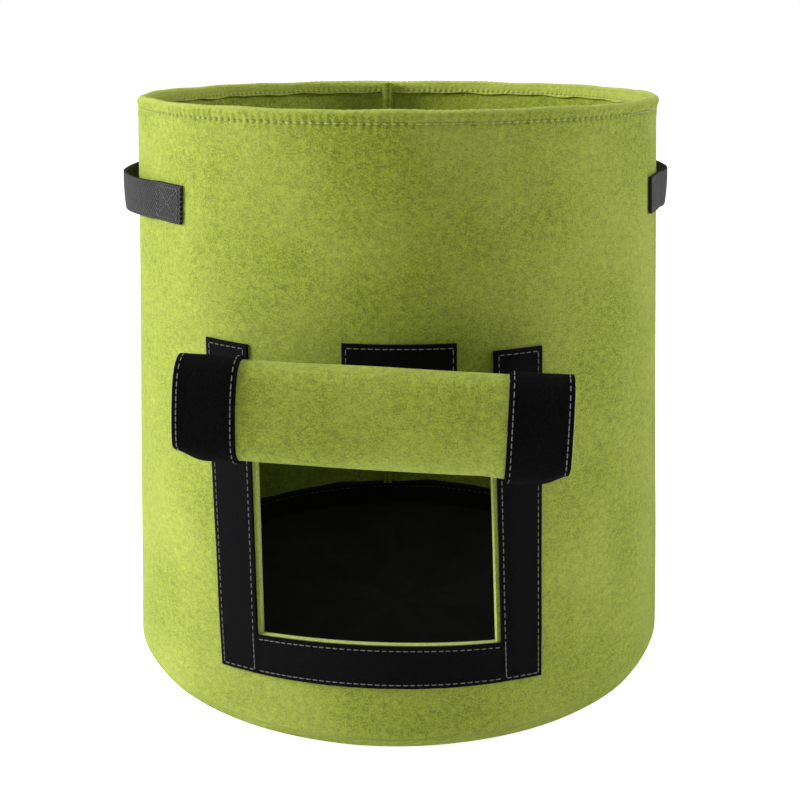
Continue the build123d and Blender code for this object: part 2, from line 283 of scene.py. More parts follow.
def materials():
    dark, grey = linear(12, 12, 13), linear(88, 89, 88)
    greens = linear(98, 114, 14), linear(164, 182, 50), linear(206, 218, 108)
    cut_greens = linear(150, 165, 60), linear(196, 206, 112), linear(226, 230, 160)
    return {
        "green_felt": felt("green_felt", *greens, 0.3, 1.8, (0.9, 1, 0.5)),
        "green_cut": cut_edge("green_felt_cut_edge", *cut_greens),
        "black_felt": felt("black_felt", linear(4, 4, 4), linear(14, 15, 15), linear(42, 44, 42), 0.03, tint=(1, 1, 1)),
        "hook_tape": hook_tape("hook_tape", linear(3, 3, 5), linear(22, 23, 26)),
        "loop_tape": loop_tape("loop_tape", linear(3, 3, 4), linear(26, 26, 28)),
        "webbing": webbing_material("webbing", linear(12, 13, 14), linear(116, 118, 116)),
        "green_thread": thread_material("green_thread", linear(120, 134, 50), linear(190, 200, 110)),
        "grey_thread": thread_material("grey_thread", linear(62, 64, 62), linear(138, 141, 134)),
        "black_thread": thread_material("black_thread", dark, grey),
    }


# ---- shapes ----
def wall_radius(z):
    return BASE_RADIUS + (RIM_RADIUS - BASE_RADIUS) * z / HEIGHT


def smooth(t):
    t = np.clip(t, 0.0, 1.0)
    return t * t * (3 - 2 * t)


def ripple(angle, z):
    """How far the soft wall stands off its cone, quiet where the tapes stiffen it."""
    a = np.radians(angle)
    wave = 0.6 * np.sin(2 * a + 1.1 + 0.004 * z) + 0.4 * np.sin(5 * a - 0.8 + 0.011 * z)
    wave += 0.25 * np.sin(9 * a + 0.02 * z) + 0.16 * np.sin(15 * a - 0.031 * z)
    around = (np.asarray(angle) + 180.0) % 360.0 - 180.0
    quiet = 0.2 + 0.8 * smooth((np.abs(around) - 34.0) / 22.0)
    flare = np.clip((z - 316.0) / 12.0, 0, 1) ** 2 * (1.1 + 0.9 * np.cos(a - math.radians(95)))
    return wave * quiet + flare


def wall_point(angle, z, out):
    angle, z, out = np.broadcast_arrays(np.asarray(angle, float), np.asarray(z, float), np.asarray(out, float))
    r = wall_radius(z) + out + ripple(angle, z)
    a = np.radians(angle)
    return np.stack([r * np.sin(a), -r * np.cos(a), z], -1)


def handmade(angle, z):
    """The window as it was really cut and taped: leaning a little, with a flatter lower edge."""
    bend = [-60.0, -TAPE_OUTER, -WINDOW_HALF, -14.0, 14.0, WINDOW_HALF, TAPE_OUTER, 60.0]
    shift = np.interp(angle, bend, [0, 0.8, 0.55, 0, 0, 0.35, -0.4, 0])
    lean = np.interp(angle, bend, [0, -2.3, -1.25, 0, 0, -1.1, 0, 0])
    fade = smooth((z - 8.0) / 20.0) * (1 - smooth((z - SIDE_TAPE_TOP - 5.0) / 60.0))
    turned = angle + (shift + lean * np.clip((z - 62.0) / 96.0, -1, 1.6)) * fade
    foot = 1.6 - 2.3 * (angle / 30.0) ** 2
    sill = -1.0 - 2.7 * (np.clip(np.abs(angle), 0, 25.0) / WINDOW_HALF) ** 2
    spans = ((8.0, FRAME_LOW), (FRAME_LOW, WINDOW_LOW), (WINDOW_LOW, 112.0))
    low, mid, high = (np.clip((z - a) / (b - a), 0, 1) for a, b in spans)
    drop = (low * (1 - mid) * foot + mid * (1 - high) * sill) * (1 - smooth((np.abs(angle) - TAPE_OUTER - 1.0) / 20.0))
    return turned, z + drop


def attribute(mesh, name, kind, values):
    layer = mesh.attributes.get(name) or mesh.attributes.new(name, kind, "POINT")
    key = "vector" if kind == "FLOAT_VECTOR" else "value"
    layer.data.foreach_set(key, np.asarray(values, np.float32).ravel())


def make_object(name, points, faces, slots, fabric, wear=None, material_index=None, sharp=38.0):
    mesh = bpy.data.meshes.new(name)
    mesh.from_pydata((np.asarray(points) * MM).tolist(), [], faces)
    for material in slots:
        mesh.materials.append(material)
    if material_index is not None:
        mesh.polygons.foreach_set("material_index", np.asarray(material_index, np.int32))
    attribute(mesh, "fab", "FLOAT_VECTOR", fabric)
    attribute(mesh, "wear", "FLOAT", np.zeros(len(points)) if wear is None else wear)
    work = bmesh.new()
    work.from_mesh(mesh)
    bmesh.ops.recalc_face_normals(work, faces=work.faces)
    work.to_mesh(mesh)
    work.free()
    mesh.polygons.foreach_set("use_smooth", np.ones(len(mesh.polygons), bool))
    mesh.set_sharp_from_angle(angle=math.radians(sharp))
    obj = bpy.data.objects.new(name, mesh)
    bpy.context.collection.objects.link(obj)
    return obj


class Slab:
    """A sheet with thickness: two grids of points (across, along, xyz), joined round every free edge."""

    def __init__(self, outer, inner, keep=None, wrap=False, bulge=0.3, plain=()):
        self.shape, self.bulge = outer.shape[:2], bulge
        nu, nv = self.shape
        count, self.outer_quads, edges = nu * nv, [], {}
        for i in range(nu if wrap else nu - 1):
            for j in range(nv - 1):
                if keep is not None and not keep[i, j]:
                    continue
                k = (i + 1) % nu
                quad = (i * nv + j, k * nv + j, k * nv + j + 1, i * nv + j + 1)
                self.outer_quads.append(quad)
                for a, b in zip(quad, quad[1:] + quad[:1]):
                    edges[(a, b)] = quad
        self.rim = [(a, b, quad) for (a, b), quad in edges.items() if (b, a) not in edges]
        self.mid = {}
        for a, b, _ in self.rim:
            for v in (a, b):
                self.mid.setdefault(v, 2 * count + len(self.mid))
        self.flat = {v for v in self.mid if (v % nv == 0 and "low" in plain) or (v % nv == nv - 1 and "high" in plain)}
        faces, kinds = [], []
        for quad in self.outer_quads:
            faces.append(quad)
            faces.append(tuple(count + v for v in reversed(quad)))
            kinds += [0, 2]
        for a, b, _ in self.rim:
            ma, mb = self.mid[a], self.mid[b]
            faces += [(b, a, ma, mb), (mb, ma, count + a, count + b)]
            kinds += [1, 1]
        self.used = sorted({v for f in faces for v in f})
        back = {v: i for i, v in enumerate(self.used)}
        self.faces = [tuple(back[v] for v in f) for f in faces]
        self.kinds, self.count = kinds, count
        self.points = self.place(outer, inner)

    def place(self, outer, inner):
        a, b = outer.reshape(-1, 3), inner.reshape(-1, 3)
        push = {}
        for p, q, quad in self.rim:
            away = (a[p] + a[q]) / 2 - a[list(quad)].mean(0)
            run = a[q] - a[p]
            away = away - run * (away @ run) / max(run @ run, 1e-9)
            away = away / max(np.linalg.norm(away), 1e-9)
            for v in (p, q):
                push[v] = push.get(v, 0) + away
        middle = np.zeros((len(self.mid), 3))
        for v, at in self.mid.items():
            way = push[v] / max(np.linalg.norm(push[v]), 1e-9)
            far = 0.0 if v in self.flat else self.bulge
            middle[at - 2 * self.count] = (a[v] + b[v]) / 2 + way * far
        return np.concatenate([a, b, middle])[self.used]

    def spread(self, uv, thick):
        """The fabric's own coordinates: across, along and through."""
        flat = uv.reshape(-1, 2)
        lay = lambda z, rows: np.column_stack([rows, np.full(len(rows), z)])
        middle = flat[list(self.mid)] if self.mid else flat[:0]
        return np.concatenate([lay(0.0, flat), lay(thick, flat), lay(thick / 2, middle)])[self.used]

    def carry(self, values):
        flat = values.reshape(-1)
        return np.concatenate([flat, flat, flat[list(self.mid)]])[self.used]

    def build(self, name, face, edge, uv, thick, inner=None, wear=None, sharp=38.0):
        slots = [face, edge, inner or face]
        wear_and_highlight_values = None if wear is None else self.carry(wear)
        return make_object(name, self.points, self.faces, slots, self.spread(uv, thick), wear_and_highlight_values, self.kinds, sharp)


def ring(name, outline, angles, shape, material, wear=None, sharp=60.0):
    """A closed outline of (radius, height) points swept round the bag; shape(angle, r, z) returns the point."""
    m, n = len(outline), len(angles)
    r, z = np.array(outline, float).T
    length = np.concatenate([[0], np.cumsum(np.hypot(np.diff(r), np.diff(z)))])
    points = shape(angles[:, None], r[None, :], z[None, :]).reshape(-1, 3)
    across = np.broadcast_to(np.radians(angles)[:, None] * RIM_RADIUS, (n, m))
    fabric = np.stack([across, np.broadcast_to(length, (n, m)), np.zeros((n, m))], -1)
    faces = [
        (i * m + j, ((i + 1) % n) * m + j, ((i + 1) % n) * m + (j + 1) % m, i * m + (j + 1) % m)
        for i in range(n)
        for j in range(m)
    ]
    wear_and_highlight_values = None if wear is None else np.broadcast_to(wear, (n, m)).reshape(-1)
    return make_object(name, points, faces, [material], fabric.reshape(-1, 3), wear_and_highlight_values, sharp=sharp)


STITCH_SIDES = 7
STITCH_STATIONS = np.array([-0.5, -0.46, -0.3, -0.1, 0.1, 0.3, 0.46, 0.5])
STITCH_GIRTH = np.array([0.15, 0.62, 0.95, 1.0, 1.0, 0.95, 0.62, 0.15])


def stitches(name, runs, material, thick=0.62, rise=0.3, sink=0.15):
    """Short lengths of thread. A run is (middles, directions, normals, lengths)."""
    sides, stations = STITCH_SIDES, STITCH_STATIONS
    girth = STITCH_GIRTH * thick / 2
    lift = rise * (1 - (2 * stations) ** 2) - sink
    ring_angle = np.arange(sides) * TAU / sides
    points, faces, fabric = [], [], []
    for middle, way, normal, length in zip(*[np.concatenate([run[i] for run in runs]) for i in range(4)]):
        way = way / np.linalg.norm(way)
        normal = normal - way * (normal @ way)
        normal = normal / np.linalg.norm(normal)
        side = np.cross(way, normal)
        base = len(points)
        for x, g, h in zip(stations, girth, lift):
            for c in ring_angle:
                points.append(middle + way * x * length + normal * (h + g * math.sin(c)) + side * g * math.cos(c))
                fabric.append((x * length + base, c * 0.3, base))
        for i in range(len(stations) - 1):
            for j in range(sides):
                k, here, there = (j + 1) % sides, base + i * sides, base + (i + 1) * sides
                faces.append((here + j, here + k, there + k, there + j))
        faces.append(tuple(base + j for j in range(sides)))
        faces.append(tuple(base + (len(stations) - 1) * sides + j for j in reversed(range(sides))))
    return make_object(name, points, faces, [material], fabric, sharp=80.0)


def along(place, normal, start, stop, pitch, length, jitter=0.12):
    """Stitch middles from one pair of surface coordinates to another, with the fabric's way and normal there."""
    start, stop = np.array(start, float), np.array(stop, float)
    fine = place(*(start[:, None] + (stop - start)[:, None] * np.linspace(0, 1, 60)))
    total = np.linalg.norm(np.diff(fine, axis=0), axis=1).sum()
    count = max(1, int(total / pitch))
    t = (np.arange(count) + 0.5) / count
    t = t + RNG.uniform(-1, 1, count) * jitter / max(total, 1)
    half = 0.5 * pitch / total
    at = lambda v: start[:, None] + (stop - start)[:, None] * v
    way = place(*at(t + half)) - place(*at(t - half))
    return place(*at(t)), way, normal(*at(t)), np.full(count, length)


def wall_normal(angle, z):
    a = np.radians(angle)
    return np.stack([np.sin(a), -np.cos(a), np.zeros_like(a)], -1)


def on_wall(out):
    return lambda angle, z: wall_point(*handmade(angle, z), out)


def hold(obj, body, slot, *nodes):
    if body:
        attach(obj, body)
    if nodes:
        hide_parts(*nodes)
    return obj


def patch(angle_a, angle_b, low, high, step=2.2, ragged=0.12):
    """Grid of (angle, height) over a patch of wall, with slightly uneven edges."""
    nu = max(3, int(math.radians(abs(angle_b - angle_a)) * WINDOW_RADIUS / step) + 1)
    nv = max(3, int((high - low) / step) + 1)
    angle, z = np.meshgrid(np.linspace(angle_a, angle_b, nu), np.linspace(low, high, nv), indexing="ij")
    wander = np.cumsum(RNG.normal(0, 0.25, (4, max(nu, nv))), axis=1)
    wander = ragged * np.sin(wander)
    angle[0] += wander[0, :nv] * 0.38
    angle[-1] += wander[1, :nv] * 0.38
    z[:, 0] += wander[2, :nu]
    z[:, -1] += wander[3, :nu]
    return angle, z


def border(nu, nv, width):
    """1 on a sheet's long edges, fading inwards."""
    across = np.minimum(np.arange(nu), np.arange(nu)[::-1])[:, None] * np.ones(nv)
    return 1 - smooth((across - width) / 0.8)


# ---- the bag ----
def side_wall(mat):
    left, window, right = 136, 40, 150  # cells round the wall, from the back seam
    angle = [np.linspace(SEAM, -WINDOW_HALF, left + 1), np.linspace(-WINDOW_HALF, WINDOW_HALF, window + 1)[1:]]
    angle = np.concatenate(angle + [np.linspace(WINDOW_HALF, SEAM + 360, right + 1)[1:-1]])
    z = [np.linspace(CORNER, WINDOW_LOW, 18), np.linspace(WINDOW_LOW, WINDOW_HIGH, 40)[1:]]
    z = np.concatenate(z + [np.linspace(WINDOW_HIGH, HEM_SPLIT, 46)[1:]])
    turn = np.radians(np.linspace(90, 12, 7))
    foot = BASE_RADIUS - CORNER

    def turned_foot(radius, floor):
        flat = [(foot - 8 + i * 4, floor) for i in range(3)]
        return flat + [(foot + radius * math.cos(t), CORNER - radius * math.sin(t)) for t in turn[1:]]

    low_outer, low_inner = turned_foot(CORNER, 0.0), turned_foot(CORNER - FELT, FELT)

    around = (angle + 180.0) % 360.0 - 180.0

    def grid(low, out):
        r, h = np.array(low).T
        a = np.radians(angle)[:, None]
        lift = 0.35 * np.sin(3 * a + 0.5) + 0.25 * np.sin(7 * a)
        swell = ripple(angle[:, None], np.zeros(len(r))) * smooth((r - foot + 4) / 8)
        rr, hh = r + swell, h + np.abs(lift) * smooth((r - foot + 2) / 8) * 0.6 + 0.02
        turned = np.stack([rr * np.sin(a), -rr * np.cos(a), np.broadcast_to(hh, rr.shape)], -1)
        return np.concatenate([turned, wall_point(*handmade(around[:, None], z[None, :]), out)], 1)

    outer, inner = grid(low_outer, 0.0), grid(low_inner, -FELT)
    nlow = len(low_outer)
    keep = np.ones((len(angle), nlow + len(z) - 1), bool)
    rows = np.where((z[:-1] >= WINDOW_LOW - 0.01) & (z[1:] <= WINDOW_HIGH + 0.01))[0] + nlow
    keep[np.ix_(range(left, left + window), rows)] = False
    u = np.broadcast_to(np.radians(angle)[:, None] * MEAN_RADIUS, outer.shape[:2])
    v = np.broadcast_to(np.concatenate([np.linspace(-20, 0, nlow), z]), outer.shape[:2])
    slab = Slab(outer, inner, keep, wrap=True, bulge=0.45, plain=("high",))
    wear = np.exp(-((v - 4) / 5.0) ** 2) * 0.45
    obj = slab.build("felt_wall", mat["green_felt"], mat["green_cut"], np.stack([u, v], -1), FELT, wear=wear)
    hold(obj, "bag", "green_felt", "side_wall")


def rim(mat):
    """The top 17 mm of the wall, folded over inwards and sewn down."""
    count, per = 236, 6
    angle = SEAM + np.arange(count * per) * 360.0 / (count * per)
    outline = [(0.0, z) for z in np.linspace(HEM_SPLIT, 325.2, 16)]
    over = np.radians([22, 45, 68, 90, 112, 135, 158])
    outline += [(-3.05 + 3.05 * math.cos(t), 325.2 + 2.75 * math.sin(t)) for t in over]
    outline += [(-6.15, z) for z in (325.0, 323.6, 322.4, 321.4, 320.5)]
    outline += [(-6.0, 319.9), (-5.4, 319.6), (-4.6, 319.6), (-4.0, 319.9)]
    outline += [(-3.75, 321.0), (-3.3, 323.0), (-3.02, 321.4)]
    outline += [(-3.0, z) for z in (319.6, 318.0, 316.0, 313.5, HEM_SPLIT)]
    profile = np.array(outline)

    def shape(a, off, z):
        phase = np.cos(np.radians(a - SEAM) * count)
        line = np.exp(-((z - HEM_STITCH) / 1.15) ** 2)
        puff = np.exp(-((z - HEM_STITCH - 3.2) / 1.8) ** 2) + 0.5 * np.exp(-((z - HEM_STITCH + 3.0) / 2.2) ** 2)
        outside, within = (off > -1.5), (off < -5.2)
        sink = line * (0.5 + 0.5 * phase) + 0.3 * line
        move = outside * (-0.85 * sink + puff * (0.28 - 0.16 * phase)) + within * (0.5 * sink - 0.2 * puff)
        uneven = 0.35 * np.sin(np.radians(a) * 11 + 1) + 0.25 * np.sin(np.radians(a) * 23)
        height = z + smooth((z - 322.0) / 6.0) * (uneven * 0.6 + 0.12 * phase)
        loose = (off < -3.6) * (z < 321.2) * (0.35 * np.sin(np.radians(a) * 31) + 0.3 * np.sin(np.radians(a) * 17 + 2))
        points = wall_point(a, z, off + move)
        points[..., 2] = height + loose
        return points

    # painted highlight: the rim's rounded top, and the inner face of the fold down to its free edge, are mixed towards
    # the pale felt colour
    wear = smooth((profile[:, 1] - 325.5) / 2.0) * 0.75
    wear[23:29] = 0.6
    obj = ring("felt_hem", outline, angle, shape, mat["green_felt"], wear)
    fabric = np.array([(math.radians(a) * MEAN_RADIUS, z, -off) for a in angle for off, z in outline])
    attribute(obj.data, "fab", "FLOAT_VECTOR", fabric)
    hold(obj, "bag", "green_felt", "rim_hem")
    at = SEAM + (np.arange(count) + 0.5) * 360.0 / count
    mid = wall_point(at, HEM_STITCH, -0.42)
    way = np.stack([np.cos(np.radians(at)), np.sin(np.radians(at)), 0 * at], -1)
    inner = wall_point(at, HEM_STITCH, -5.75)
    out, length = wall_normal(at, at), np.full(count, 3.2)
    runs = [(mid, way, out, length), (inner, way, -out, length)]
    thread = stitches("hem_stitches", runs, mat["green_thread"], 0.8, 0.55, 0.2)
    hold(thread, "bag", "green_thread", "rim_hem_stitching")


def back_seam(mat):
    low, high = LIP_TOP + 0.5, 326.4
    z = np.linspace(low, high, 122)
    pieces = (("seam_allowance_left", -1, ["back_seam_allowance"]), ("seam_allowance_right", 1, []))
    for name, sign, nodes in pieces:
        depth = np.linspace(-FELT + 0.2, -FELT - SEAM_DEPTH, 7)
        lean = sign * (1.45 + 0.25 * smooth((-depth - FELT - 3.5) / 4)[:, None])
        sway = 0.35 * np.sin(z / 21.0 + sign) * smooth((-depth - FELT) / SEAM_DEPTH)[:, None]

        def side(off):
            centre = SEAM + np.degrees((lean + sway + off) / RIM_RADIUS)
            deep = depth[:, None] + 0.3 * np.sin(z / 33.0 + sign) * smooth((-depth - FELT) / SEAM_DEPTH)[:, None]
            return wall_point(centre, z[None, :], deep)

        slab = Slab(side(1.4), side(-1.4), bulge=0.35)
        uv = np.stack(np.meshgrid(depth, z, indexing="ij"), -1)
        obj = slab.build(name, mat["green_felt"], mat["green_felt"], uv, 2.8)
        hold(obj, "bag", "green_felt", *nodes)
    a, off = math.radians(SEAM), math.degrees(3.35 / RIM_RADIUS)
    runs = []
    for sign in (1, -1):
        place = lambda s, h: wall_point(SEAM + sign * off, h, -FELT - 4.0)
        across = lambda s, h: np.broadcast_to([sign * math.cos(a), sign * math.sin(a), 0.0], (len(h), 3))
        runs.append(along(place, across, (0, low + 2), (0, high - 2), 3.6, 2.9))
    hold(stitches("back_seam_stitches", runs, mat["green_thread"]), "bag", "green_thread", "back_seam_stitching")


def base(mat):
    lip_out, lip_in = FELT + 0.1, FELT + BASE_FELT
    foot, big, small = BASE_RADIUS - CORNER, CORNER - FELT, CORNER - FELT - BASE_FELT
    turn = np.radians([0, 20, 40, 60, 80])
    z_wall = np.linspace(CORNER, LIP_TOP - 0.5, 9)
    outline = [(r, 0.15) for r in (4.0, 30.0, 60.0, 90.0, 120.0, foot - 10)]
    outline += [(foot - 8.6, 0.9), (foot - 8.4, FELT), (foot - 4, FELT + 0.05)]
    outline += [(foot + big * math.sin(t), CORNER - big * math.cos(t)) for t in turn]
    outline += [(wall_radius(z) - lip_out, z) for z in z_wall]
    top_r = wall_radius(LIP_TOP)
    outline += [(top_r - FELT - 0.9, LIP_TOP + 0.3), (top_r - lip_in + 0.5, LIP_TOP + 0.2)]
    outline += [(wall_radius(z) - lip_in, z) for z in z_wall[::-1]]
    outline += [(foot + small * math.sin(t), CORNER - small * math.cos(t)) for t in turn[::-1]]
    outline += [(r, FELT + BASE_FELT + 0.02) for r in (foot - 7, 120.0, 95.0, 70.0, 45.0, 22.0, 4.0)]
    angle = SEAM + np.arange(300) * 1.2

    def shape(a, r, z):
        t = np.radians(a)
        tall = smooth((z - 6) / 20)
        soft = tall * (ripple(a, z) + 0.25 * np.sin(t * 19) * smooth((z - LIP_TOP + 10) / 10))
        wrinkle = 0.5 * np.sin(t * 5 + r * 0.05) + 0.35 * np.sin(t * 9 - r * 0.11) + 0.5
        wrinkle = wrinkle * (z > 5.0) * smooth((foot + 3 - r) / 6) * smooth(r / 40)
        top = (z > LIP_TOP - 1.5) * (0.5 * np.sin(t * 13) + 0.3 * np.sin(t * 29))
        rr = r + soft
        return np.stack(np.broadcast_arrays(rr * np.sin(t), -rr * np.cos(t), z + wrinkle * 0.8 + top), -1)

    wear = np.array([0.7 if LIP_TOP - 0.6 < z < LIP_TOP + 1 else 0.0 for _, z in outline])
    obj = ring("base_dish", outline, angle, shape, mat["black_felt"], wear)
    work = bmesh.new()
    work.from_mesh(obj.data)
    bmesh.ops.remove_doubles(work, verts=work.verts, dist=1e-7)
    bmesh.ops.holes_fill(work, edges=[e for e in work.edges if e.is_boundary], sides=0)
    work.to_mesh(obj.data)
    work.free()
    hold(obj, "bag", "black_felt", "base_panel")
    points, faces = disc(5.5, 0.15, FELT + BASE_FELT + 0.02)
    centre = make_object("base_centre", points, faces, [mat["black_felt"]], disc_fabric(5.5))
    hold(centre, "bag", "black_felt")
    place = lambda a, z: wall_point(a, z, -lip_in - 0.05)
    facing, line = lambda a, z: -wall_normal(a, z), LIP_TOP - 4
    runs = [along(place, facing, (b, line), (b + 60, line), 4.0, 3.2) for b in range(0, 360, 60)]
    thread = stitches("base_lip_stitches", runs, mat["black_thread"])
    hold(thread, "bag", "black_thread", "base_lip_stitching")


def disc(radius, low, high, count=40):
    a = np.arange(count) * TAU / count
    points = [(radius * math.cos(t), radius * math.sin(t), z) for z in (low, high) for t in a]
    faces = [tuple(range(count)), tuple(range(count, 2 * count))]
    faces += [(i, (i + 1) % count, count + (i + 1) % count, count + i) for i in range(count)]
    return points, faces


def disc_fabric(radius, count=40):
    a = np.arange(count) * TAU / count
    return [(radius * math.cos(t), radius * math.sin(t), z) for z in (0, 5) for t in a]


def wall_tape(name, mat, a0, a1, low, high, node, upright=True):
    angle, z = patch(a0, a1, low, high)
    belly = 0.12 * np.sin(z / 9.0) + 0.1 * np.sin(angle)
    at = handmade(angle, z)
    outer, inner = wall_point(*at, TAPE + 0.05 + belly * 0.6), wall_point(*at, 0.02)
    u, v = np.radians(angle - a0) * WINDOW_RADIUS, z
    uv = np.stack([u, v] if upright else [v, u], -1)
    nu, nv = angle.shape
    edge = border(nu, nv, 0.4) if upright else border(nv, nu, 0.4).T
    obj = Slab(outer, inner, bulge=0.18).build(name, mat["hook_tape"], mat["hook_tape"], uv, TAPE, wear=edge)
    hold(obj, "bag", "hook_tape", node)


def tape_seam(place, normal, start, stop):
    return along(place, normal, start, stop, 3.5, 2.9)


def tape_stitches(name, runs, mat):
    return stitches(name, runs, mat["grey_thread"], 0.5, 0.24, 0.14)


def window_frame(mat):
    frame_high = FRAME_LOW + TAPE_WIDTH
    for side, sign in (("left", -1), ("right", 1)):
        a0, a1 = sorted((sign * TAPE_OUTER, sign * TAPE_INNER))
        wall_tape(f"hook_tape_{side}", mat, a0, a1, FRAME_LOW, SIDE_TAPE_TOP, f"window_hook_tape_{side}")
    ends = -TAPE_INNER, TAPE_INNER
    wall_tape("hook_tape_bottom", mat, *ends, FRAME_LOW, frame_high, "window_hook_tape_bottom", upright=False)
    place, edge = on_wall(TAPE + 0.05), 2.2
    inset = math.degrees(edge / WINDOW_RADIUS)
    runs = []
    for sign in (-1, 1):
        for at in (TAPE_OUTER - inset, TAPE_INNER + inset):
            ends = (sign * at, FRAME_LOW + edge), (sign * at, SIDE_TAPE_TOP - edge)
            runs.append(tape_seam(place, wall_normal, *ends))
        for z in (FRAME_LOW + edge, SIDE_TAPE_TOP - edge):
            ends = (sign * (TAPE_INNER + inset), z), (sign * (TAPE_OUTER - inset), z)
            runs.append(tape_seam(place, wall_normal, *ends))
    for z in (FRAME_LOW + edge, frame_high - edge):
        runs.append(tape_seam(place, wall_normal, (-TAPE_INNER + 0.3, z), (TAPE_INNER - 0.3, z)))
    hold(tape_stitches("window_tape_stitches", runs, mat), "bag", "grey_thread", "window_tape_stitching")
    a0, a1, low = PATCH_MIDDLE - PATCH_HALF, PATCH_MIDDLE + PATCH_HALF, PATCH_TOP - TAPE_WIDTH
    wall_tape("holding_patch", mat, a0, a1, low, PATCH_TOP, "roll_holding_patch", upright=False)
    left, right, bottom, top = a0 + inset, a1 - inset, low + edge, PATCH_TOP - edge
    box = [(left, bottom), (right, bottom), (right, top), (left, top)]
    runs = [tape_seam(place, wall_normal, p, q) for p, q in zip(box, box[1:] + box[:1])]
    hold(tape_stitches("holding_patch_stitches", runs, mat), "bag", "grey_thread", "roll_patch_stitching")


# ---- the handles ----
def handles(mat):
    half_width = WEBBING_WIDTH / 2
    chord = wall_radius(HANDLE_Z - half_width) * math.sin(math.radians(FREE_HALF))
    loop_half = math.degrees(math.asin(chord / LOOP_RADIUS))
    for side, middle in HANDLES.items():
        path = []
        for a in np.linspace(FREE_HALF + SEWN, FREE_HALF, 16):
            r = wall_radius(HANDLE_Z) + WEBBING / 2
            path.append((r * math.cos(math.radians(a)), -r * math.sin(math.radians(a))))
        r = LOOP_RADIUS + WEBBING / 2
        for a in np.linspace(-loop_half, loop_half, 92)[1:-1]:
            path.append((LOOP_CENTRE + r * math.cos(math.radians(a)), r * math.sin(math.radians(a))))
        path += [(n, -t) for n, t in path[:16][::-1]]
        path = np.array(path)
        for _ in range(5):
            path[1:-1] = (path[:-2] + 2 * path[1:-1] + path[2:]) / 4
        steps = np.concatenate([[0], np.cumsum(np.linalg.norm(np.diff(path, axis=0), axis=1))])
        fine = np.linspace(0, steps[-1], int(steps[-1] / 0.9))
        path = np.column_stack([np.interp(fine, steps, path[:, 0]), np.interp(fine, steps, path[:, 1])])
        way = np.gradient(path, axis=0)
        way /= np.linalg.norm(way, axis=1)[:, None]
        normal = np.column_stack([way[:, 1], -way[:, 0]])
        across = np.linspace(-half_width, half_width, 17)
        a = math.radians(middle)
        out, tangent = np.array([math.sin(a), -math.cos(a)]), np.array([math.cos(a), math.sin(a)])
        sewn = smooth((np.minimum(fine, steps[-1] - fine) - 24) / 8)

        def surface(off, across=across, path=path, normal=normal, sewn=sewn, out=out, tangent=tangent, fine=fine):
            cup = (0.4 * (across / half_width) ** 2)[:, None] * sewn[None, :]
            waver = (0.25 * np.sin(fine / 7.0) * sewn)[None, :] * (across / half_width)[:, None]
            sag = (-0.8 * sewn * np.sin(np.pi * fine / fine[-1]))[None, :]
            selvedge = (np.abs(across) > half_width - 0.5) * np.sign(across)
            rim_ripple = 0.18 * np.sin(fine * TAU / 2.2)[None, :] * selvedge[:, None]
            n = path[None, :, 0] + normal[None, :, 0] * (off - cup + waver)
            t = path[None, :, 1] + normal[None, :, 1] * (off - cup + waver)
            n = n - across[:, None] * (BASE_RADIUS - RIM_RADIUS) / HEIGHT * (1 - sewn)[None, :]
            xy = n[..., None] * out + t[..., None] * tangent
            z = np.broadcast_to(HANDLE_Z + across[:, None] + sag + rim_ripple, n.shape)
            return np.concatenate([xy, z[..., None]], -1)

        slab = Slab(surface(WEBBING / 2 + 0.25), surface(-WEBBING / 2 + 0.25), bulge=0.2)
        uv = np.stack(np.meshgrid(across, fine, indexing="ij"), -1)
        strap = slab.build(f"{side}_handle_strap", mat["webbing"], mat["webbing"], uv, WEBBING)
        hold(strap, None, "webbing", f"{side}_handle_ends", f"{side}_handle_loop")
        at = lambda n: (n * out[0] * MM, n * out[1] * MM, HANDLE_Z * MM)
        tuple(at(143.0))
        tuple(at(157.0))
        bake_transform(strap)
        runs = []
        for sign in (-1, 1):
            near, far = middle + sign * (FREE_HALF + 0.9), middle + sign * (FREE_HALF + SEWN - 0.9)
            low, high = HANDLE_Z - half_width + 2, HANDLE_Z + half_width - 2
            corners = [(near, low), (far, low), (far, high), (near, high)]
            lines = list(zip(corners, corners[1:] + corners[:1])) + [(corners[0], corners[2]), (corners[1], corners[3])]
            runs += [along(on_wall(WEBBING + 0.35), wall_normal, p, q, 2.6, 2.1) for p, q in lines]
        thread = stitches(f"{side}_handle_stitches", runs, mat["black_thread"], 0.7, 0.4, 0.1)
        hold(thread, "bag", "black_thread", f"{side}_handle_stitching")


# ---- the rolled flap ----
def tilt(points):
    """Flap coordinates (sideways, outward, height) to the bag's, with the flap's droop to the right."""
    x, o, z = np.moveaxis(np.asarray(points, float), -1, 0)
    dx, dz = x, z - HINGE_Z
    c, s = math.cos(FLAP_TILT), math.sin(FLAP_TILT)
    return np.stack([FLAP_SHIFT + dx * c + dz * s, -o, HINGE_Z - dx * s + dz * c], -1)


def flap_lines():
    """The flap's hinges and directions in its own plane: (outward, height)."""
    hinges, ways, at = [], [], np.array([FLAP_OUT, HINGE_Z])
    for length, heading in zip(LENGTHS, HEADINGS):
        way = np.array([math.cos(math.radians(heading)), math.sin(math.radians(heading))])
        hinges.append(at)
        ways.append(way)
        at = at + way * length
    return hinges, ways, at


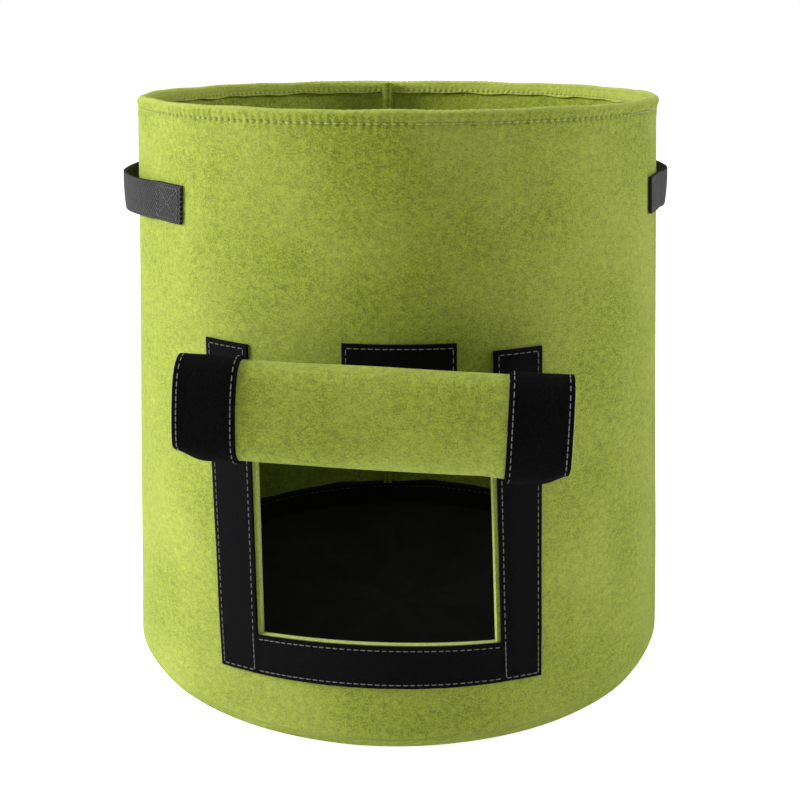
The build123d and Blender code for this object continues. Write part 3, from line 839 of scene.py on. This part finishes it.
def flap_drift(x, s):
    """How the soft roll leaves its straight form: the top follows the curved wall, and the lower corners round up."""
    r = wall_radius(HINGE_Z)
    follow = np.clip(1 - s / 36.0, 0, 1) ** 1.4
    back = r * (1 - np.cos(x / r)) * follow
    inwards = (r * np.sin(x / r) - x) * follow
    corner = smooth((np.abs(x) - 79.0) / 15.0) ** 1.4 * 6.5 - smooth((x - 50.0) / 22.0) * 2.2
    low = np.exp(-(((s - 21.0) / 13.0) ** 2))
    lift = corner * low
    wavy = 0.5 * np.sin(x / 17.0 + s / 11.0) + 0.35 * np.sin(x / 9.0 - s / 16.0 + 1.0)
    wavy = wavy * smooth((s - 8.0) / 14.0)
    return np.stack([inwards + 0 * wavy, back - wavy * 0.5, lift + wavy * 0.35], -1)


class Bend:
    """One stretch of the flap, from the middle of a section to the middle of the next."""

    def __init__(self, number, hinges, ways, end):
        k = number - 1
        first = hinges[k] + ways[k] * LENGTHS[k] / 2
        last = hinges[k + 1] + ways[k + 1] * LENGTHS[k + 1] / 2
        t = np.linspace(0, 1, max(9, int((LENGTHS[k] + LENGTHS[k + 1]) / 2 / 1.1)))[:, None]
        corner = hinges[k + 1]
        line = (1 - t) ** 2 * first + 2 * t * (1 - t) * corner + t * t * last
        way = 2 * (1 - t) * (corner - first) + 2 * t * (last - corner)
        if number == len(LENGTHS) - 1:
            more = np.linspace(0, 1, 12)[1:, None]
            line = np.concatenate([line, last + (end - last) * more])
            way = np.concatenate([way, np.repeat([ways[-1]], 11, 0)])
        way = way / np.linalg.norm(way, axis=1)[:, None]
        self.line, self.normal = line, np.column_stack([way[:, 1], -way[:, 0]])
        steps = np.linalg.norm(np.diff(line, axis=0), axis=1)
        self.s = sum(LENGTHS[:k]) + LENGTHS[k] / 2 + np.concatenate([[0], np.cumsum(steps)])
        arm = min(LENGTHS[k], LENGTHS[k + 1]) / 2
        self.start, self.stop = hinges[k + 1] - ways[k] * arm, hinges[k + 1] + ways[k + 1] * arm

    def points(self, x, off):
        line = self.line + self.normal * off
        grid = np.empty((len(x), len(line), 3))
        grid[..., 0], grid[..., 1], grid[..., 2] = x[:, None], line[None, :, 0], line[None, :, 1]
        return tilt(grid)


def flap(mat):
    hinges, ways, end = flap_lines()
    x = np.linspace(-FLAP_HALF, FLAP_HALF, 95)
    band_edges = [(-FLAP_HALF, -FLAP_HALF + LOOP_WIDTH), (FLAP_HALF - LOOP_WIDTH, FLAP_HALF)]
    strip(mat, hinges, ways, x)
    for number in range(1, len(LENGTHS)):
        bend = Bend(number, hinges, ways, end)
        last = number == len(LENGTHS) - 1
        plain = ("low",) if last else ("low", "high")
        bodies = (f"flap_section_{number}", f"flap_section_{number + 1}")
        ends = [tilt([0.0, *p]) * MM for p in (bend.start, bend.stop)]
        drift = flap_drift(x[:, None], bend.s[None, :])

        def put(obj, bodies=bodies, ends=ends):
            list(bodies)
            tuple(ends[0])
            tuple(ends[1])
            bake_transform(obj)

        outer, inner = bend.points(x, FELT), bend.points(x, 0.0)
        slab = Slab(outer, inner, bulge=0.4, plain=plain)
        uv = np.stack(np.meshgrid(x + 700, -bend.s, indexing="ij"), -1)
        wear = np.exp(-((np.abs(x) - FLAP_HALF) / 2.0) ** 2)[:, None] * 0.5 + 0 * bend.s[None, :]
        felt_piece = slab.build(f"flap_felt_{number}_piece", mat["green_felt"], mat["green_cut"], uv, FELT, wear=wear)
        nodes = [f"flap_felt_{number}"] + ([f"flap_felt_{number + 1}"] if last else [])
        hold(felt_piece, None, "green_felt", *nodes)
        put(felt_piece)
        set_points(felt_piece, slab.place(outer + drift, inner + drift))
        bands = [tape_band(mat, bend, edge, plain) for edge in band_edges]
        if last:
            tail = slice(len(bend.s) - 23, None)
            bands.append(tape_band(mat, bend, (band_edges[0][1] + 0.3, band_edges[1][0] - 0.3), (), rows=tail))
        tape = join([b[0] for b in bands], f"flap_loop_tape_{number}_piece")
        nodes = [f"flap_loop_tape_{number}"]
        nodes += [f"flap_loop_tape_{number + 1}", "flap_loop_tape_bottom"] if last else []
        hold(tape, None, "loop_tape", *nodes)
        put(tape)
        set_points(tape, np.concatenate([b[1] for b in bands]))
        surface = Surface(bend, FELT + TAPE)
        at_x = [s * (FLAP_HALF - e) for s in (-1, 1) for e in (2.2, LOOP_WIDTH - 2.2)]
        stop = bend.s[-1] - (1.5 if last else 0)
        runs = [tape_seam(surface.place, surface.normal, (v, bend.s[0]), (v, stop)) for v in at_x]
        thread = tape_stitches(f"flap_stitches_{number}", runs, mat)
        hold(thread, None, "grey_thread")
        put(thread)
        move = np.concatenate([flap_drift(np.full(len(r[0]), v), surface.s_of(r)) for v, r in zip(at_x, runs)])
        move = np.repeat(move, STITCH_SIDES * len(STITCH_STATIONS), 0)
        set_points(thread, points_of(thread) + move)


class Surface:
    """The flap's tape face as a function of (sideways, distance along)."""

    def __init__(self, bend, off):
        self.bend, self.line, self.across = bend, bend.line + bend.normal * off, bend.normal

    def place(self, x, s):
        o, z = (np.interp(s, self.bend.s, self.line[:, i]) for i in (0, 1))
        return tilt(np.stack([x + 0 * s, o, z], -1))

    def normal(self, x, s):
        o, z = (np.interp(s, self.bend.s, self.across[:, i]) for i in (0, 1))
        c, t = math.cos(FLAP_TILT), math.sin(FLAP_TILT)
        return np.stack([z * t, -o, z * c], -1)

    def s_of(self, run):
        count = len(run[0])
        low, high = self.bend.s[0], self.bend.s[-1]
        return low + (high - low) * (np.arange(count) + 0.5) / count


def tape_band(mat, bend, edge, plain, rows=slice(None)):
    x = np.linspace(edge[0], edge[1], max(9, int((edge[1] - edge[0]) / 2.0)))
    x[0], x[-1] = x[0] + 0.15, x[-1] - 0.15
    outer, inner = bend.points(x, FELT + TAPE)[:, rows], bend.points(x, FELT + 0.02)[:, rows]
    s = bend.s[rows]
    slab = Slab(outer, inner, bulge=0.2, plain=plain)
    uv = np.stack(np.meshgrid(x, -s, indexing="ij"), -1)
    wear = border(len(x), len(s), 0.4)
    obj = slab.build("band", mat["loop_tape"], mat["loop_tape"], uv, TAPE, wear=wear)
    drift = flap_drift(x[:, None], s[None, :])
    return obj, slab.place(outer + drift, inner + drift)


def strip(mat, hinges, ways, x):
    """The flap's top, sewn flat to the wall and bending away below its stitches."""
    r = wall_radius(HINGE_Z)
    middle = hinges[0] + ways[0] * LENGTHS[0] / 2
    normal = np.array([ways[0][1], -ways[0][0]])
    wall_z = np.linspace(STRIP_TOP - HINGE_Z, 2.0, 7)
    t = np.linspace(0, 1, 8)[1:]

    def virtual(x, off):
        zs = np.concatenate([wall_z, 2.0 + (middle[1] - HINGE_Z - 2.0) * t])
        grid = np.empty((len(x), len(zs), 3))
        grid[..., 0], grid[..., 1], grid[..., 2] = x[:, None], FLAP_OUT - off, HINGE_Z + zs[None, :]
        return tilt(grid)

    def final(x, off, lay):
        angle = np.degrees((x + FLAP_SHIFT) / r)
        over = np.abs(angle)
        tape = TAPE * smooth((over - TAPE_INNER + 0.6) / 0.9) * (1 - smooth((over - TAPE_OUTER) / 0.9))
        z = HINGE_Z + wall_z[None, :] - x[:, None] * math.sin(FLAP_TILT)
        top = wall_point(angle[:, None], z, tape[:, None] + lay)
        far, high = middle + normal * off
        last = tilt(np.stack([x, np.full(len(x), far), np.full(len(x), high)], -1))
        last = last + flap_drift(x, np.full(len(x), LENGTHS[0] / 2))
        begin, down = top[:, -1], np.array([0, 0, -1.0])
        span = np.linalg.norm(last - begin, axis=1)[:, None, None]
        u = t[None, :, None]
        lower = (2 * u**3 - 3 * u**2 + 1) * begin[:, None] + (u**3 - 2 * u**2 + u) * down * span
        lower = lower + (-2 * u**3 + 3 * u**2) * last[:, None] + (u**3 - u**2) * down * span
        return np.concatenate([top, lower], 1)

    outer, inner = virtual(x, 0.0), virtual(x, FELT)
    slab = Slab(outer, inner, bulge=0.4, plain=("high",))
    s = np.concatenate([-wall_z, -2.0 + 5.0 * t])
    uv = np.stack(np.meshgrid(x + 700, -s, indexing="ij"), -1)
    wear = np.exp(-((s + 9) / 1.5) ** 2)[None, :] * 0.5 + 0 * x[:, None]
    obj = slab.build("flap_sewn_strip_piece", mat["green_felt"], mat["green_cut"], uv, FELT, wear=wear)
    hold(obj, None, "green_felt", "flap_sewn_strip")
    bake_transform(obj)
    set_points(obj, slab.place(final(x, 0.0, FELT), final(x, FELT, 0.03)))
    droop = math.sin(FLAP_TILT)
    over_tape = lambda px: FELT + TAPE * smooth((np.abs(px) - 66.5) / 2.5)
    place = lambda px, h: wall_point(np.degrees((px + FLAP_SHIFT) / r), HINGE_Z + h - px * droop, over_tape(px))
    face = lambda px, h: wall_normal(np.degrees((px + FLAP_SHIFT) / r), h)
    runs = [along(place, face, (-FLAP_HALF + 2, h), (FLAP_HALF - 2, h), 3.8, 3.1) for h in (4.0, 7.0)]
    thread = stitches("flap_strip_stitches", runs, mat["green_thread"])
    hold(thread, "bag", "green_thread", "flap_strip_stitching")


def points_of(obj):
    co = np.empty(len(obj.data.vertices) * 3, np.float32)
    obj.data.vertices.foreach_get("co", co)
    return co.reshape(-1, 3).astype(float) / MM


def set_points(obj, points):
    obj.data.vertices.foreach_set("co", (np.asarray(points) * MM).astype(np.float32).ravel())
    obj.data.update()


def join(objects, name):
    """One object from several, its vertices in the order given."""
    work, materials_seen = bmesh.new(), objects[0].data.materials[:]
    for obj in objects:
        work.from_mesh(obj.data)
    mesh = bpy.data.meshes.new(name)
    work.to_mesh(mesh)
    work.free()
    for material in materials_seen:
        mesh.materials.append(material)
    joined = bpy.data.objects.new(name, mesh)
    bpy.context.collection.objects.link(joined)
    for obj in objects:
        bpy.data.objects.remove(obj)
    return joined


def floor():
    bpy.ops.mesh.primitive_plane_add(size=40.0, location=(0, 0, -0.0004))
    plane = bpy.context.object
    plane.name = "studio_floor"
    plane.data.materials.append(floor_material())


camera()
studio()
floor()
mats = materials()
side_wall(mats)
rim(mats)
back_seam(mats)
base(mats)
window_frame(mats)
handles(mats)
flap(mats)
